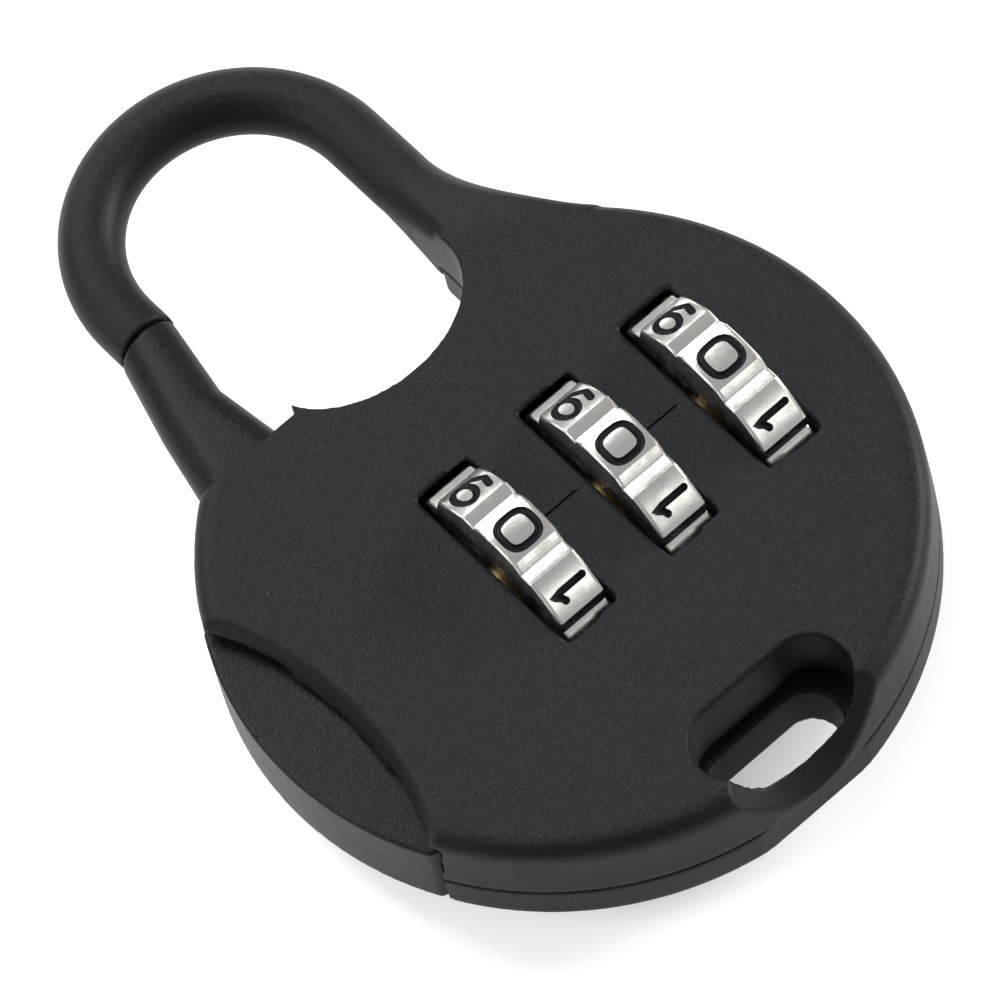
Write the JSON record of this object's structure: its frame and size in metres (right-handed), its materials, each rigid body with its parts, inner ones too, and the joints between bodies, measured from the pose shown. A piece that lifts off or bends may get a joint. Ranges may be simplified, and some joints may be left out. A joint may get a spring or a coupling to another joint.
{
  "type": "luggage combination padlock",
  "caption": "Round luggage padlock with a fixed hook, a gate opened by a side thumb tab, number dials and a lanyard slot.",
  "frame": {"origin": "centre of the lock's outline box, at mid thickness of the body", "axes": "+X along the dial axis away from the thumb tab, +Y from the body to the hook, +Z out of the front face"},
  "size_m": [0.0402, 0.0584, 0.0134],
  "materials": {
    "shell_black": "fine moulded grain",
    "lever_black": "fine moulded grain",
    "dial_nickel": "nickel plated cast zinc, figures in black paint",
    "sleeve_brass": "turned",
    "spring_steel": "bright wire",
    "pin_steel": "ground",
    "screw_steel": "blackened"
  },
  "bodies": {
    "case": {"front_shell": "shell_black", "back_cover": "shell_black", "cover_screws": "screw_steel", "pivot_pin": "pin_steel", "lever_spring": "spring_steel", "spindle_spring": "spring_steel", "spring_seat": "sleeve_brass", "detent_leaf_left": "spring_steel", "detent_leaf_middle": "spring_steel", "detent_leaf_right": "spring_steel"},
    "lever": {"gate_lever": "lever_black"},
    "plunger": {"spindle": "sleeve_brass"},
    "left_wheel": {"dial_left": "dial_nickel", "sleeve_left": "sleeve_brass"},
    "middle_wheel": {"dial_middle": "dial_nickel", "sleeve_middle": "sleeve_brass"},
    "right_wheel": {"dial_right": "dial_nickel", "sleeve_right": "sleeve_brass"}
  },
  "joints": [
    {"name": "gate_swing", "type": "hinge", "parent": "case", "child": "lever", "pos_m": [-0.0076, 0.00171, 0], "axis": [0, 0, 1], "range_deg": [0, 10.9], "stiffness_Nm_per_rad": 0.05, "springref_deg": -14.32, "deforming": ["lever_spring"]},
    {"name": "spindle_slide", "type": "slide", "parent": "case", "child": "plunger", "axis": [1, 0, 0], "range_m": [0, 0.002], "deforming": ["spindle_spring"]},
    {"name": "left_dial_turn", "type": "hinge", "parent": "case", "child": "left_wheel", "pos_m": [-0.00272, -0.00869, 0], "axis": [1, 0, 0], "continuous": true, "deforming": ["detent_leaf_left"]},
    {"name": "middle_dial_turn", "type": "hinge", "parent": "case", "child": "middle_wheel", "pos_m": [0.00466, -0.00869, 0], "axis": [1, 0, 0], "continuous": true, "deforming": ["detent_leaf_middle"]},
    {"name": "right_dial_turn", "type": "hinge", "parent": "case", "child": "right_wheel", "pos_m": [0.01204, -0.00869, 0], "axis": [1, 0, 0], "continuous": true, "deforming": ["detent_leaf_right"]}
  ],
  "couplings": [
    {"joint": "spindle_slide", "follows": "gate_swing", "m_per_rad": 0.0105}
  ]
}
